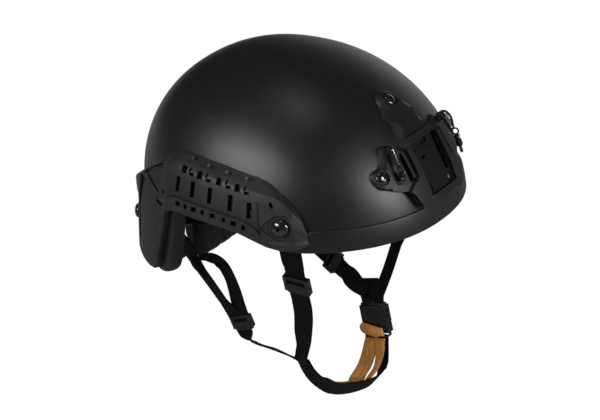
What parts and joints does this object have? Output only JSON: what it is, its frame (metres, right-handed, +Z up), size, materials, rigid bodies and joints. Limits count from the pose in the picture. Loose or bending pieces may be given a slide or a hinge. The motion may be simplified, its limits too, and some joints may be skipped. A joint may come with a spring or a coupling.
{
  "type": "combat helmet",
  "caption": "High-cut ballistic-style helmet with side rails, a front accessory bracket, a padded dial liner and a chin strap with a leather cup.",
  "frame": {"origin": "on the plane of symmetry, level with the front brim, under the shell's widest section, where the wearer's head carries it", "axes": "+Z up towards the crown, the front faces -Y, and the wearer's right is -X"},
  "size_m": [0.2612, 0.289, 0.3252],
  "materials": {
    "shell_paint": "satin black paint on a moulded composite wall",
    "trim_rubber": "satin black rubber",
    "black_nylon": "fine-grained black nylon",
    "black_plastic": "black moulded plastic",
    "black_screw": "gloss black coating",
    "zinc_nut": "dull zinc",
    "bare_screw": "bright steel",
    "tan_leather": "soft tan leather",
    "black_web": "woven black nylon webbing",
    "pad_cloth": "brushed black pad cloth",
    "hook_tape": "black hook tape"
  },
  "bodies": {
    "helmet": {"shell": "shell_paint", "edge_trim": "trim_rubber", "rail_right": "black_nylon", "rail_left": "black_nylon", "rail_screws": "black_screw", "rail_nuts": "zinc_nut", "bracket_frame": "black_nylon", "bracket_insert": "black_nylon", "bracket_screws": "black_screw", "bracket_nuts": "zinc_nut", "insert_screws": "bare_screw", "lanyard_post_right": "black_plastic", "lanyard_post_left": "black_plastic", "pad_crown": "pad_cloth", "pad_front": "pad_cloth", "pad_rear": "pad_cloth", "pad_temple_right": "pad_cloth", "pad_temple_left": "pad_cloth", "pad_side_right": "pad_cloth", "pad_side_left": "pad_cloth", "hook_discs": "hook_tape", "headband_right": "black_plastic", "headband_left": "black_plastic", "band_hangers": "black_plastic", "dial_housing": "black_plastic", "cradle_plate": "black_plastic", "nape_pad": "pad_cloth", "front_strap_right": "black_web", "front_strap_left": "black_web", "rear_strap_right": "black_web", "rear_loop_right": "black_web", "rear_strap_left": "black_web", "yoke_left": "black_web", "buckle_socket": "black_plastic"},
    "dial": {"dial_knob": "black_plastic", "dial_pinion": "black_plastic"},
    "arm_right": {"band_arm_right": "black_plastic"},
    "arm_left": {"band_arm_left": "black_plastic"},
    "buckle_plug": {"buckle_plug": "black_plastic", "buckle_prongs": "black_plastic", "chin_strap": "black_web", "chin_cup": "tan_leather", "cup_keeper": "black_web"},
    "front_slider_right": {"front_slider_right": "black_plastic"},
    "front_slider_left": {"front_slider_left": "black_plastic"},
    "rear_slider_right": {"rear_slider_right": "black_plastic"},
    "rear_slider_left": {"rear_slider_left": "black_plastic"},
    "clip_right": {"lanyard_clip_right": "bare_screw"},
    "clip_left": {"lanyard_clip_left": "bare_screw"}
  },
  "joints": [
    {"name": "dial_turn", "type": "hinge", "parent": "helmet", "child": "dial", "pos_m": [0, 0.10993, -0.064], "axis": [0, -1, 0], "range_deg": [0, 148]},
    {"name": "band_draw_right", "type": "slide", "parent": "helmet", "child": "arm_right", "axis": [1, 0, 0], "range_m": [0, 0.014], "deforming": ["headband_right"]},
    {"name": "band_draw_left", "type": "slide", "parent": "helmet", "child": "arm_left", "axis": [-1, 0, 0], "range_m": [0, 0.014], "deforming": ["headband_left"]},
    {"name": "buckle_release", "type": "slide", "parent": "helmet", "child": "buckle_plug", "axis": [-0.04, -0.1998, -0.979], "range_m": [0, 0.022], "deforming": ["chin_strap", "buckle_prongs"]},
    {"name": "front_slider_slide_right", "type": "slide", "parent": "helmet", "child": "front_slider_right", "axis": [0.2887, 0.0583, -0.9556], "range_m": [-0.006, 0.006]},
    {"name": "front_slider_slide_left", "type": "slide", "parent": "helmet", "child": "front_slider_left", "axis": [-0.3096, 0.1353, -0.9412], "range_m": [-0.006, 0.006]},
    {"name": "rear_slider_slide_right", "type": "slide", "parent": "helmet", "child": "rear_slider_right", "axis": [0.0618, -0.3411, -0.938], "range_m": [-0.003, 0.004]},
    {"name": "rear_slider_slide_left", "type": "slide", "parent": "helmet", "child": "rear_slider_left", "axis": [-0.1208, -0.8789, -0.4614], "range_m": [-0.006, 0.006]},
    {"name": "clip_swing_right", "type": "hinge", "parent": "helmet", "child": "clip_right", "pos_m": [-0.04053, -0.11255, 0.07152], "axis": [-0.945, 0.327, 0], "range_deg": [0, 110]},
    {"name": "clip_swing_left", "type": "hinge", "parent": "helmet", "child": "clip_left", "pos_m": [0.04053, -0.11255, 0.07152], "axis": [-0.945, -0.327, 0], "range_deg": [0, 110]}
  ],
  "couplings": [
    {"joint": "band_draw_right", "follows": "dial_turn", "m_per_rad": 0.0054},
    {"joint": "band_draw_left", "follows": "dial_turn", "m_per_rad": 0.0054}
  ]
}
